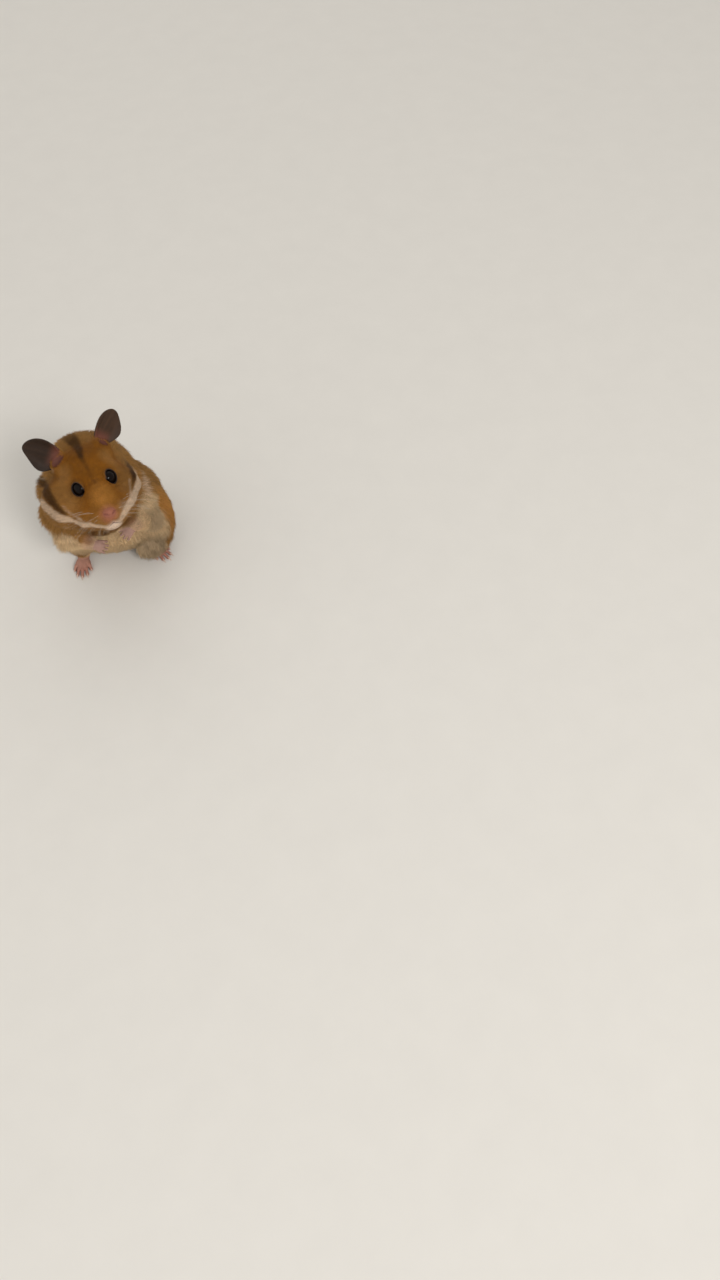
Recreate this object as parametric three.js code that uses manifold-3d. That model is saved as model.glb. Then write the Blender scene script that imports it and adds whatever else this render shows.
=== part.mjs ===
// A Syrian hamster sitting up on its haunches, life size, in millimetres.
// +Z is up and the chest faces -Y, so the animal's left is +X. Each shape is the outline of the coat.
// The flesh is one smooth field of ovals and tapered limbs, which is meshed and then parted by thin
// cuts. Toes, fingers, ears, eyes and the nose pad are made on their own and joined or set in.
import * as THREE from "three";
import { mergeVertices } from "three/addons/utils/BufferGeometryUtils.js";
import Module from "manifold-3d";

const wasm = await Module();
wasm.setup();

// ---------------------------------------------------------------- driving dimensions
const GAP = 0.3; // between two parts that meet
const HEAD_AT = [1.8, -9.6, 72.9]; // midway between the eyes
const HEAD_YAW = 14.8; // degrees, towards the animal's left
const HEAD_PITCH = 22.7; // degrees, nose up

// In the head's frame +X is the animal's left, -Y runs out along the nose and +Z is the crown.
const EYE = { centre: [5.6, 0.3, -0.3], looks: [0.62, -0.7, 0.35], radius: 3.1 };
const NOSE = { centre: [0, -15.6, -6.6], radii: [2.6, 1.8, 2] };
const EAR = { thick: 0.75, cup: 2.4, lower: 1.36, upper: 0.94 }; // shares of the width at the two edges
const EARS = {
  // the root, the way to the tip and the way that the hollow faces, as for a left ear,
  // and how much of its width the lower edge loses towards the tip
  left: {
    root: [9.8, 15.2, 8], along: [0.72, 0.24, 0.65], faces: [0.5, -0.86, 0.1],
    width: 10.6, length: 14.6, taper: 0.4,
  },
  right: {
    root: [7.8, 15.4, 7.2], along: [0.77, 0.25, 0.6], faces: [0.3, -0.94, 0.15],
    width: 12, length: 15.5, taper: 0.66,
  },
};

const SIDES = { left: 1, right: -1 };
const HIND = {
  // from hip to heel, and the turn of the toes outwards in degrees
  left: {
    hip: [18.2, 11.5, 19],
    knee: [13.2, 4.4, 11.6],
    kneeSize: 8.6,
    ankle: [13.5, 9, 6.6],
    heel: [9.6, 14.8],
    out: 36,
  },
  right: {
    hip: [-16.8, 15.5, 20],
    knee: [-18.5, 10, 19],
    kneeSize: 7,
    ankle: [-17.8, 13, 8],
    heel: [-17.2, 17],
    out: 10,
  },
};
const FORE = {
  // from shoulder to wrist, and the way that the fingers point
  left: {
    shoulder: [16, 1.5, 45],
    elbow: [18, -2.5, 35],
    wrist: [11.7, -9, 41.6],
    point: [-0.82, -0.5, -0.26],
  },
  right: {
    shoulder: [-19.6, 1, 45],
    elbow: [-18.4, -4, 34.5],
    wrist: [-8.9, -12.2, 38.7],
    point: [0.9, -0.34, -0.28],
  },
};
const FOOT = { length: 19.5, width: 5.6, toes: 5 };
const PAW = { length: 9.5, width: 4.6, fingers: 4 };
const TAIL = { root: [0, 40.5, 6.4], tip: [0.8, 47, 2.8], radii: [2.6, 1.3] };

// ---------------------------------------------------------------- colours
const finish = (hex, roughness) =>
  new THREE.MeshStandardMaterial({ color: hex, roughness, metalness: 0 });
const GOLDEN_FUR = finish(0x9a6533, 0.85);
const PALE_FUR = finish(0xcbb59c, 0.85);
const PINK_SKIN = finish(0xc08a7c, 0.6);
const EAR_SKIN = finish(0x4a3a33, 0.7);
const EYE_BLACK = finish(0x0b0708, 0.08);

// ---------------------------------------------------------------- fields: negative inside
const radians = (degrees) => (degrees * Math.PI) / 180;

// An oval with its centre and its three radii, tipped forwards by an angle in degrees.
function oval(centre, radii, tip = 0) {
  const c = Math.cos(radians(tip));
  const s = Math.sin(radians(tip));
  const [rx, ry, rz] = radii;
  return (x, y, z) => {
    const dy = y - centre[1];
    const dz = z - centre[2];
    const u = (x - centre[0]) / rx;
    const v = (c * dy + s * dz) / ry;
    const w = (c * dz - s * dy) / rz;
    const k = Math.hypot(u, v, w);
    const slope = Math.hypot(u / rx, v / ry, w / rz);
    return slope < 1e-9 ? -Math.min(rx, ry, rz) : (k * (k - 1)) / slope;
  };
}

// A limb of radius ra at a, tapering to rb at b, with round ends.
function limb(a, b, ra, rb) {
  const d = b.map((q, i) => q - a[i]);
  const long2 = d[0] ** 2 + d[1] ** 2 + d[2] ** 2;
  return (x, y, z) => {
    const p = [x - a[0], y - a[1], z - a[2]];
    const t = THREE.MathUtils.clamp((p[0] * d[0] + p[1] * d[1] + p[2] * d[2]) / long2, 0, 1);
    return Math.hypot(p[0] - t * d[0], p[1] - t * d[1], p[2] - t * d[2]) - (ra + t * (rb - ra));
  };
}

// Fields joined with a soft fillet of about that width.
function blend(width, ...fields) {
  return (x, y, z) => {
    let all = fields[0](x, y, z);
    for (let i = 1; i < fields.length; i++) {
      const one = fields[i](x, y, z);
      const h = Math.max(width - Math.abs(all - one), 0) / width;
      all = Math.min(all, one) - (h * h * width) / 4;
    }
    return all;
  };
}

// A field with others scooped out of it, the rims rounded by about that width.
function scoop(width, field, ...hollows) {
  const inverse = blend(width, (x, y, z) => -field(x, y, z), ...hollows);
  return (x, y, z) => -inverse(x, y, z);
}

// A field given in the local frame of a matrix, read in the model's frame.
function placed(matrix, field) {
  const e = matrix.clone().invert().elements;
  return (x, y, z) =>
    field(
      e[0] * x + e[4] * y + e[8] * z + e[12],
      e[1] * x + e[5] * y + e[9] * z + e[13],
      e[2] * x + e[6] * y + e[10] * z + e[14],
    );
}

const both = (make) => Object.values(SIDES).map(make);
const mirrored = (s, [x, y, z]) => [s * x, y, z];
const stepped = (point, way, length) => point.map((q, k) => q + way[k] * length);

// ---------------------------------------------------------------- the frames of head, feet and paws
const headFrame = new THREE.Matrix4()
  .makeTranslation(...HEAD_AT)
  .multiply(new THREE.Matrix4().makeRotationZ(radians(HEAD_YAW)))
  .multiply(new THREE.Matrix4().makeRotationX(radians(-HEAD_PITCH)));

const footFrame = (side) =>
  new THREE.Matrix4()
    .makeTranslation(HIND[side].heel[0], HIND[side].heel[1], 0)
    .multiply(new THREE.Matrix4().makeRotationZ(radians(HIND[side].out * SIDES[side])));

// The wrist's frame: -Y runs to the fingers and +Z is the back of the hand.
function pawFrame(side) {
  const back = new THREE.Vector3(...FORE[side].point).normalize().negate();
  const across = new THREE.Vector3().crossVectors(back, new THREE.Vector3(0, -0.62, 0.78)).normalize();
  const up = new THREE.Vector3().crossVectors(across, back);
  return new THREE.Matrix4().makeBasis(across, back, up).setPosition(...FORE[side].wrist);
}

// ---------------------------------------------------------------- the field of the flesh
const eyeSocket = (s) => oval(mirrored(s, stepped(EYE.centre, EYE.looks, 3.4)), [3.2, 3.2, 3.2]);

function headField() {
  const whole = blend(
    4,
    oval([0, 11, -0.6], [12.6, 13.5, 11.4]), // skull
    oval([0, -0.5, -2.6], [6.2, 11.5, 6.8]), // forehead between the eyes
    oval([0, -0.5, -8.4], [11, 11, 7.6]), // face under the eyes
    ...both((s) => oval([s * 7, -3.5, -10.4], [6.6, 8, 6.4])), // fronts of the cheeks
    limb([0, -5, -6.8], [0, -11.2, -8], 7.4, 5), // muzzle
    ...both((s) => oval([s * 3.6, -10.8, -9.8], [3.9, 4.4, 3.6])), // whisker pads
    oval([0, -4, -13], [6.8, 8.5, 4.2]), // lower jaw
    oval([0, -9.6, -13.2], [3.4, 3.4, 2.5]), // chin
    oval([-13.4, 8, -8], [10.2, 12.5, 11]), // the right cheek, pulled back by the turn of the head
    oval([9, 6, -9.2], [9.8, 12, 10.6]), // the left cheek
    oval([-2, 5, -14], [14, 12, 9]), // throat
    ...both((s) => oval([s * 9, 14.5, 5.5], [4.2, 4.2, 4.6])), // the mounds that the ears grow from
  );
  return scoop(1.6, whole, ...both(eyeSocket));
}

const trunkField = () =>
  blend(
    8,
    oval([0, 23.2, 21.4], [25.6, 22.4, 22.5]), // rump
    oval([0, 11, 27], [26, 16.5, 19]), // belly
    oval([-2.4, 20, 42], [19.6, 20, 21]), // back
    oval([-2.2, 5.6, 45], [25, 17, 15.5]), // ribs
  );

const neckField = () =>
  blend(6, oval([-4, 4.5, 57], [21.5, 14, 12]), oval([-2.6, 14.4, 62], [16.5, 12.8, 12]));

function thighField(side) {
  const { hip, knee, kneeSize, ankle, heel } = HIND[side];
  return blend(
    5,
    oval(hip, [10.4, 14, 17], 14),
    limb(knee, ankle, kneeSize, 4.3),
    limb(ankle, [heel[0], heel[1] - 1.5, 4.6], 4.2, 3.6),
  );
}

function forelegField(side) {
  const { shoulder, elbow, wrist } = FORE[side];
  return blend(4, limb(shoulder, elbow, 7.8, 6), limb(elbow, wrist, 5.6, 2.9));
}

const flesh = blend(
  3.5,
  blend(6, trunkField(), neckField(), placed(headFrame, headField())),
  ...Object.keys(SIDES).map(thighField),
  ...Object.keys(SIDES).map(forelegField),
);

// ---------------------------------------------------------------- meshing the field
const CORNERS = [0, 1, 2, 3, 4, 5, 6, 7].map((i) => [i & 1, (i >> 1) & 1, i >> 2]);
const EDGES = CORNERS.flatMap((_, i) => [1, 2, 4].filter((bit) => !(i & bit)).map((bit) => [i, i | bit]));

// Slides a point along the field's slope onto its surface.
function ontoSurface(field, p) {
  const h = 0.02;
  for (let round = 0; round < 3; round++) {
    const [x, y, z] = p;
    const f = field(x, y, z);
    const slope = [field(x + h, y, z), field(x, y + h, z), field(x, y, z + h)].map((q) => (q - f) / h);
    const steep = Math.max(slope[0] ** 2 + slope[1] ** 2 + slope[2] ** 2, 0.25);
    slope.forEach((g, k) => (p[k] -= (f * g) / steep));
  }
  return p;
}

// Where a cell's crossed edges are crossed, on average, or nothing for a cell that isn't crossed.
function crossing(values) {
  const cut = EDGES.filter(([a, b]) => values[a] < 0 !== values[b] < 0);
  if (!cut.length) return null;
  const sum = [0, 0, 0];
  for (const [a, b] of cut) {
    const t = values[a] / (values[a] - values[b]);
    sum.forEach((_, n) => (sum[n] += CORNERS[a][n] + t * (CORNERS[b][n] - CORNERS[a][n])));
  }
  return sum.map((q) => q / cut.length);
}

// The closed surface of a field inside a box: one vertex in each crossed cell of a grid.
function surface(field, { low, high }, cell) {
  const size = low.map((q, k) => Math.ceil((high[k] - q) / cell) + 1);
  const step = [1, size[0], size[0] * size[1]];
  const boxed = (x, y, z) => {
    const outside = [x, y, z].map((q, k) => Math.max(low[k] + cell - q, q - high[k] + cell));
    return Math.max(field(x, y, z), ...outside);
  };
  const cells = [];
  for (let k = 0; k < size[2]; k++)
    for (let j = 0; j < size[1]; j++)
      for (let i = 0; i < size[0]; i++) cells.push([i, j, k]);
  const corner = (at) => at.map((q, k) => low[k] + q * cell);
  const values = cells.map((at) => boxed(...corner(at)));
  const inner = (at, from, to) => at.every((q, k) => q >= from && q < size[k] - to);

  const vertexOf = new Map();
  const vertices = [];
  cells.forEach((at, here) => {
    if (!inner(at, 0, 1)) return;
    const p = crossing(CORNERS.map((c) => values[here + c[0] + c[1] * step[1] + c[2] * step[2]]));
    if (!p) return;
    vertexOf.set(here, vertices.length);
    const base = corner(at);
    vertices.push(ontoSurface(boxed, p.map((q, n) => base[n] + q * cell)));
  });

  const faces = [];
  const apart = (a, b) => Math.hypot(...vertices[a].map((q, n) => q - vertices[b][n]));
  cells.forEach((at, here) => {
    if (!inner(at, 1, 1)) return;
    for (let axis = 0; axis < 3; axis++) {
      const solidHere = values[here] < 0;
      if (solidHere === values[here + step[axis]] < 0) continue;
      const u = step[(axis + 1) % 3];
      const v = step[(axis + 2) % 3];
      const quad = [here - u - v, here - v, here, here - u].map((n) => vertexOf.get(n));
      const [a, b, c, d] = solidHere ? quad : quad.reverse();
      if (apart(a, c) < apart(b, d)) faces.push(a, b, c, a, c, d);
      else faces.push(a, b, d, b, c, d);
    }
  });
  return solid(new Float32Array(vertices.flat()), new Uint32Array(faces));
}

// ---------------------------------------------------------------- solids
function solid(vertProperties, triVerts) {
  return new wasm.Manifold(new wasm.Mesh({ numProp: 3, vertProperties, triVerts }));
}

// A closed three.js geometry as a solid.
function solidOf(geometry) {
  const bare = geometry.clone();
  bare.deleteAttribute("normal");
  bare.deleteAttribute("uv");
  const merged = mergeVertices(bare, 1e-4);
  return solid(new Float32Array(merged.attributes.position.array), new Uint32Array(merged.index.array));
}

const joined = (solids) => solids.reduce((all, one) => all.add(one));
const largest = (made) => made.decompose().reduce((a, b) => (b.volume() > a.volume() ? b : a));

function ball(matrix, centre, radii, around = 12, down = 8) {
  const geometry = new THREE.SphereGeometry(1, around, down);
  return solidOf(geometry.scale(...radii).translate(...centre).applyMatrix4(matrix));
}

// A closed tube through points, with a radius at each. It starts and ends at a radius of 0.
function tube(matrix, points, radii, sides) {
  const centres = points.map((p) => new THREE.Vector3(...p));
  const rings = new THREE.CylinderGeometry(1, 1, 1, sides, points.length - 1, true);
  const p = rings.attributes.position;
  for (let i = 0; i < p.count; i++) {
    const n = Math.floor(i / (sides + 1));
    const tangent = new THREE.Vector3().subVectors(
      centres[Math.min(n + 1, centres.length - 1)], centres[Math.max(n - 1, 0)],
    );
    const across = new THREE.Vector3().crossVectors(new THREE.Vector3(0, 0, 1), tangent).normalize();
    const lift = new THREE.Vector3().crossVectors(tangent, across).normalize();
    const at = centres[n].clone()
      .addScaledVector(across, p.getX(i) * radii[n])
      .addScaledVector(lift, p.getZ(i) * radii[n]);
    p.setXYZ(i, at.x, at.y, at.z);
  }
  return solidOf(rings.applyMatrix4(matrix));
}

// A straight stretch of a limb from a to b, round at both ends.
function stick(matrix, a, b, ra, rb, sides = 10) {
  const length = Math.hypot(...b.map((q, k) => q - a[k]));
  const way = b.map((q, k) => (q - a[k]) / length);
  const slant = Math.SQRT1_2;
  const along = [-ra, -ra * slant, 0, length, length + rb * slant, length + rb];
  const radii = [0, ra * slant, ra, rb, rb * slant, 0];
  return tube(matrix, along.map((q) => stepped(a, way, q)), radii, sides);
}

// All the space on one side of a plane through a point, the side that the normal points to.
function beyond(point, normal, shift = 0) {
  const reach = 200;
  const way = new THREE.Vector3(...normal).normalize();
  const turn = new THREE.Quaternion().setFromUnitVectors(new THREE.Vector3(0, 0, 1), way);
  const centre = new THREE.Vector3(...point).addScaledVector(way, reach / 2 + shift);
  return solidOf(
    new THREE.BoxGeometry(2 * reach, 2 * reach, reach).applyQuaternion(turn).translate(...centre),
  );
}

// ---------------------------------------------------------------- digits, feet and paws
// Each digit is a tube through points in the frame of its heel or wrist, and ends in a claw.
function toes() {
  return [...Array(FOOT.toes).keys()].map((i) => {
    const t = i / (FOOT.toes - 1) - 0.5; // -0.5 to 0.5 across the foot
    const turn = radians(t * 46);
    const reach = FOOT.length - 13.2 - 9.5 * t * t;
    const start = [t * 4.6, -12 + 5 * t * t, 1.7];
    const at = (share, z) =>
      [start[0] + Math.sin(turn) * reach * share, start[1] - Math.cos(turn) * reach * share, z];
    const points = [at(-0.2, 1.7), start, at(0.5, 1.75), at(0.95, 0.76), at(1.1, 0.6), at(1.35, 0.2)];
    return { points, radii: [0, 1.1, 0.98, 0.84, 0.4, 0] };
  });
}

function fingers() {
  return [...Array(PAW.fingers).keys()].map((i) => {
    const t = i / (PAW.fingers - 1) - 0.5;
    const turn = radians(t * 22);
    const reach = PAW.length - 6.1 - 2.4 * t * t;
    const start = [t * 3.6, -4.6 + 1.4 * t * t, 0];
    const at = (share, z) =>
      [start[0] + Math.sin(turn) * reach * share, start[1] - Math.cos(turn) * reach * share, z];
    const points = [at(-0.25, 0), start, at(0.52, -0.5), at(0.86, -1.9), at(0.93, -2.5), at(0.97, -3.4)];
    return { points, radii: [0, 0.92, 0.86, 0.7, 0.34, 0] };
  });
}

const digit = (matrix, { points, radii }) => tube(matrix, points, radii, 6);

function hindFoot(side) {
  const frame = footFrame(side);
  return joined([
    stick(frame, [0, -0.2, 2.4], [0, -7, 2.2], 2.7, 2.6, 8),
    ball(frame, [0, -9.6, 1.8], [FOOT.width / 2, 4.6, 2.2], 10, 6),
    ...toes().map((toe) => digit(frame, toe)),
  ]);
}

function forepaw(side) {
  const frame = pawFrame(side);
  return joined([
    stick(frame, [0, 1, 0], [0, -1.8, 0], 2.3, 2.1, 8),
    ball(frame, [0, -3.4, 0], [PAW.width / 2, 2.9, 1.7], 10, 6),
    ...fingers().map((finger) => digit(frame, finger)),
  ]);
}

// The room that the heel and the wrist take inside the coat of the limb above.
const heelRoom = (side) => stick(footFrame(side), [0, -0.2, 2.7], [0, -16, 2.6], 2.8 + GAP, 3.2 + GAP);
const wristRoom = (side) => stick(pawFrame(side), [0, 1, 0], [0, -8, -0.6], 2.4 + GAP, 4 + GAP);

// ---------------------------------------------------------------- eyes, nose, ears and tail
const eyeBall = (s, extra = 0) =>
  ball(headFrame, mirrored(s, EYE.centre), Array(3).fill(EYE.radius + extra));
const nosePad = (extra = 0) => ball(headFrame, NOSE.centre, NOSE.radii.map((q) => q + extra));
const tail = (extra = 0) =>
  stick(new THREE.Matrix4(), TAIL.root, TAIL.tip, TAIL.radii[0] + extra, TAIL.radii[1] + extra);

// A sphere drawn out into a thin, cupped leaf that narrows to its root.
function earLeaf(side) {
  const ear = EARS[side];
  const along = new THREE.Vector3(...ear.along).normalize();
  const faces = new THREE.Vector3(...ear.faces);
  faces.addScaledVector(along, -faces.dot(along)).normalize();
  const across = new THREE.Vector3().crossVectors(along, faces);
  const geometry = new THREE.SphereGeometry(1, 14, 10).rotateX(Math.PI / 2);
  const p = geometry.attributes.position;
  for (let i = 0; i < p.count; i++) {
    const x = p.getX(i);
    const up = 0.5 + p.getY(i) * (p.getY(i) > 0 ? 0.5 : 0.62); // 0 at the root, 1 at the tip
    const edge = x > 0 ? EAR.lower - ear.taper * THREE.MathUtils.smoothstep(up, 0.25, 0.95) : EAR.upper;
    const wide = (ear.width / 2) * (0.7 + 0.36 * Math.sin(Math.PI * Math.max(up, 0) * 0.75)) * edge;
    const hollow = EAR.cup * (1 - 0.45 * up) * (x * x - 0.55) + 1.6 * up * up - 1.6;
    const thick = EAR.thick * (1.5 - 0.6 * up);
    const at = new THREE.Vector3(...ear.root)
      .addScaledVector(along, ear.length * up)
      .addScaledVector(across, wide * x)
      .addScaledVector(faces, hollow + thick * p.getZ(i));
    p.setXYZ(i, SIDES[side] * at.x, at.y, at.z);
  }
  if (side === "right") geometry.setIndex([...geometry.index.array].reverse());
  return solidOf(geometry.applyMatrix4(headFrame));
}

// ---------------------------------------------------------------- where the flesh is cut
const ABOVE_JAW = { point: [0, 0, 57.5], normal: [0.05, -0.25, 0.96] };
const BELOW_NECK = { point: [0, 3, 49], normal: [0.03, -0.3, 0.95] };
const opposite = ({ point, normal }) => [point, normal.map((q) => -q), GAP / 2];
const world = new THREE.Matrix4();

const overHead = beyond(ABOVE_JAW.point, ABOVE_JAW.normal, GAP / 2);
const underHead = beyond(...opposite(ABOVE_JAW));
const overNeck = beyond(BELOW_NECK.point, BELOW_NECK.normal, GAP / 2);
const underNeck = beyond(...opposite(BELOW_NECK));
const overFloor = beyond([0, 0, 0], [0, 0, 1]);

const thighZone = (s, extra = 0) =>
  ball(world, [s * 20, 13, 15], [15, 19, 21].map((q) => q + extra), 14, 8);
const forelegZone = (s, extra = 0) =>
  ball(world, [s * 17, -5.5, 38.5], [10.5, 10, 10].map((q) => q + extra));

// The flesh meshed in a box, kept where it is in every solid of keep and in none of drop.
function fleshPart({ box, cell, keep = [], drop = [] }) {
  const kept = keep.reduce((all, one) => all.intersect(one), surface(flesh, box, cell));
  return largest(drop.reduce((all, one) => all.subtract(one), kept));
}

const around = (centre, half) => ({
  low: centre.map((q) => q - half),
  high: centre.map((q) => q + half),
});

// ---------------------------------------------------------------- the nodes
const names = Object.keys(SIDES);
const solids = {
  head: fleshPart({
    box: { low: [-32, -38, 46], high: [32, 32, 94] },
    cell: 2.9,
    keep: [overHead],
    drop: [...both((s) => eyeBall(s, GAP)), nosePad(GAP), ...names.map(wristRoom)],
  }),
  nose: nosePad(),
  neck: fleshPart({
    box: { low: [-34, -32, 38], high: [34, 38, 74] },
    cell: 4,
    keep: [underHead, overNeck],
    drop: [...both((s) => forelegZone(s, GAP)), ...names.map(wristRoom)],
  }),
  trunk: fleshPart({
    box: { low: [-36, -34, -8], high: [36, 56, 70] },
    cell: 5.2,
    keep: [underNeck, overFloor],
    drop: [
      ...both((s) => thighZone(s, GAP)),
      ...both((s) => forelegZone(s, GAP)),
      ...names.map(heelRoom),
      ...names.map(wristRoom),
      tail(GAP),
    ],
  }),
  tail: tail().intersect(overFloor),
};
for (const [side, s] of Object.entries(SIDES)) {
  solids["eye_" + side] = eyeBall(s);
  solids["thigh_" + side] = fleshPart({
    box: around([s * 18, 12, 16], 30),
    cell: 3.9,
    keep: [thighZone(s), overFloor],
    drop: [heelRoom(side), forelegZone(s, GAP)],
  });
  solids["hind_foot_" + side] = hindFoot(side).intersect(overFloor);
  solids["foreleg_" + side] = fleshPart({
    box: around([s * 17, -5, 39], 18),
    cell: 3,
    keep: [forelegZone(s), underHead],
    drop: [wristRoom(side)],
  });
  solids["forepaw_" + side] = forepaw(side);
}

const skull = surface((x, y, z) => flesh(x, y, z) - GAP, { low: [-32, -14, 56], high: [34, 32, 96] }, 2.2);
for (const side of names) solids["ear_" + side] = largest(earLeaf(side).subtract(skull));

// ---------------------------------------------------------------- the scene graph
function finishOf(name) {
  if (name.startsWith("eye")) return EYE_BLACK;
  if (name.startsWith("ear")) return EAR_SKIN;
  if (/nose|foot|paw|tail/.test(name)) return PINK_SKIN;
  return name.startsWith("foreleg") ? PALE_FUR : GOLDEN_FUR;
}

function meshOf(name, made) {
  const { vertProperties, triVerts } = made.getMesh();
  const geometry = new THREE.BufferGeometry()
    .setAttribute("position", new THREE.BufferAttribute(vertProperties, 3))
    .setIndex(new THREE.BufferAttribute(triVerts, 1));
  geometry.computeVertexNormals();
  const mesh = new THREE.Mesh(geometry, finishOf(name));
  mesh.name = name;
  return mesh;
}

const hamster = new THREE.Group();
hamster.add(...Object.entries(solids).map(([name, made]) => meshOf(name, made)));

// The origin is the middle of the box's floor.
const bounds = new THREE.Box3().setFromObject(hamster);
const middle = bounds.getCenter(new THREE.Vector3());
hamster.position.set(-middle.x, -middle.y, -bounds.min.z);

export default hamster;
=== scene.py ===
"""A Syrian hamster sitting up on its haunches: skin, coat, eyes, claws and whiskers.

Shapes are written in millimetres in the modelling frame: the floor is z = 0, the chest faces -Y and the
animal's left is +X. ORIGIN takes them to the row frame, in metres.
"""

import math

import bpy
import numpy as np
from mathutils import Matrix, Vector


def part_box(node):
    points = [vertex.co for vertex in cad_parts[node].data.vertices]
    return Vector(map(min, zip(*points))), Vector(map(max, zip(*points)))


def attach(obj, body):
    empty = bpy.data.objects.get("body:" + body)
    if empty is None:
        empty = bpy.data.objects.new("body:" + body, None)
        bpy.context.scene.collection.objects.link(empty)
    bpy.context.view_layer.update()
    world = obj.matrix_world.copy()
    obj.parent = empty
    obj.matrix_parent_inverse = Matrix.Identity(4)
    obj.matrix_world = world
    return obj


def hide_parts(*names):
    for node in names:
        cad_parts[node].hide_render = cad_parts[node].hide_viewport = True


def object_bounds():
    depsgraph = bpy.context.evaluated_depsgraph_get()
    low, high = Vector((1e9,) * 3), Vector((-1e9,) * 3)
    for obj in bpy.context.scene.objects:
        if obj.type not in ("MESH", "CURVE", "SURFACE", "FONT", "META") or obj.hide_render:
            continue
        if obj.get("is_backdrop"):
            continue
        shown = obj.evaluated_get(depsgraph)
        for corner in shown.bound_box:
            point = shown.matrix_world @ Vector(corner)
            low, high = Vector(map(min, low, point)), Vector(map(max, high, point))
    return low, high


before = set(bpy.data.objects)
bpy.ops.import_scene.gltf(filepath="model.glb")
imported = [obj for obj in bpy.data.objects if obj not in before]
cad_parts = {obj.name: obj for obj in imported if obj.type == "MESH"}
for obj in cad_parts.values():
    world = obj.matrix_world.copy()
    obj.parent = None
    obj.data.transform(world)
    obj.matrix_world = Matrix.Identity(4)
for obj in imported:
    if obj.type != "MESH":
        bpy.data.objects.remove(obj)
cad_box = [list(corner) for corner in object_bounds()]
rng = np.random.default_rng(11)

# ---- sizes, in millimetres and degrees
MM = 0.001
SIDES = {"left": 1, "right": -1}
SIGNS = (1, -1)
HEAD_AT = np.array([1.8, -9.6, 72.9])  # midway between the eyes
HEAD_YAW = 14.8
HEAD_PITCH = 22.7
EYE = {"centre": (5.6, 0.3, -0.3), "looks": (0.62, -0.7, 0.35), "radius": 3.1}
OPENINGS = {1: (2.4, 2.72, 0), -1: (2.55, 2.35, 38)}  # half width, half height and tilt, by side
EAR = {"rim": 0.45, "cup": 2.4}
EARS = {
    "left": {"root": (9.8, 15.2, 8), "along": (0.72, 0.24, 0.65), "faces": (0.5, -0.86, 0.1),
             "width": 10.6, "length": 14.6, "taper": 0.4},
    "right": {"root": (7.8, 15.4, 7.2), "along": (0.77, 0.25, 0.6), "faces": (0.3, -0.94, 0.15),
              "width": 12, "length": 15.5, "taper": 0.66},
}
HIND = {
    "left": {"hip": (18.2, 11.5, 19), "knee": (13.2, 4.4, 11.6), "knee_size": 8.6,
             "ankle": (13.5, 9, 6.6), "heel": (9.6, 14.8), "out": 36},
    "right": {"hip": (-16.8, 15.5, 20), "knee": (-18.5, 10, 19), "knee_size": 7,
              "ankle": (-17.8, 13, 8), "heel": (-17.2, 17), "out": 10},
}
FORE = {
    "left": {"shoulder": (16, 1.5, 45), "elbow": (18, -2.5, 35), "wrist": (11.7, -9, 41.6),
             "point": (-0.82, -0.5, -0.26)},
    "right": {"shoulder": (-19.6, 1, 45), "elbow": (-18.4, -4, 34.5), "wrist": (-8.9, -12.2, 38.7),
              "point": (0.9, -0.34, -0.28)},
}
FOOT_LENGTH = 19.5
PAW_LENGTH = 9.5
TAIL = {"root": (0, 40.5, 6.4), "tip": (0.8, 47, 2.8), "radii": (1.9, 0.9)}
FLOOR_CLEAR = 0.08  # the skin's lowest level
SOCKET = {"out": 3.4, "radius": 3.2}
LID = {"gap": 0.38, "half": 0.35}  # from the eyeball to the lid's middle, and half the lid's thickness
HAND_UP = (0, -0.62, 0.78)  # roughly where the backs of the hands face

SKIN_CELL = 0.36
SKIN_MARGIN = 1.5  # room round the CAD's box
SKIN_TRIANGLES = 185_000
TUFTS = 162_000
TUFTS_PER_PIECE = 21_000
LOWEST_ROOT = 0.3  # no hair grows below this height
SHORT_COAT = 1.35  # shallower coat than this goes into the pieces of down

# ---- frames
def turned(axis, degrees):
    return np.array(Matrix.Rotation(math.radians(degrees), 3, axis))


HEAD_TURN = turned("Z", HEAD_YAW) @ turned("X", -HEAD_PITCH)


def unit(v):
    v = np.asarray(v, float)
    return v / np.linalg.norm(v, axis=-1, keepdims=True)


def foot_frame(side):
    heel = HIND[side]["heel"]
    return np.array([heel[0], heel[1], 0.0]), turned("Z", HIND[side]["out"] * SIDES[side])


def paw_frame(side):
    """The wrist's frame: -Y runs to the fingers and +Z is the back of the hand."""
    back = -unit(FORE[side]["point"])
    across = unit(np.cross(back, HAND_UP))
    return np.array(FORE[side]["wrist"], float), np.column_stack([across, back, np.cross(across, back)])


HEAD = (HEAD_AT, HEAD_TURN)


def single(p):
    """Points in single precision, which the fields take."""
    return p.astype(np.float32)


def into(place, p):
    """Model points in a local frame."""
    return (p - place[0].astype(p.dtype)) @ place[1].astype(p.dtype)


def out_of(place, p):
    """Local points in the model's frame."""
    return np.asarray(p, float) @ place[1].T + place[0]


eye_boxes = [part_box("eye_left"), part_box("eye_right")]
mid_eyes = sum((np.array(low) + np.array(high) for low, high in eye_boxes)) / 4
ORIGIN = mid_eyes - MM * out_of(HEAD, (0, EYE["centre"][1], EYE["centre"][2]))


def to_row(p):
    return p * MM + ORIGIN


# ---- fields, negative inside
def length_of(v):
    return np.sqrt(np.einsum("ij,ij->i", v, v))


def ramp(x, low, high):
    """0 below low, 1 above high, smooth between."""
    t = np.clip((x - low) / (high - low), 0, 1)
    return t * t * (3 - 2 * t)


def oval(centre, radii, tip=0.0):
    c, r = np.array(centre, np.float32), np.array(radii, np.float32)
    turn = single(turned("X", tip))

    def field(p):
        d = p - c
        q = (d @ turn if tip else d) / r
        k = length_of(q)
        return k * (k - 1) / np.maximum(length_of(q / r), 1e-6)

    return field


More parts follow.
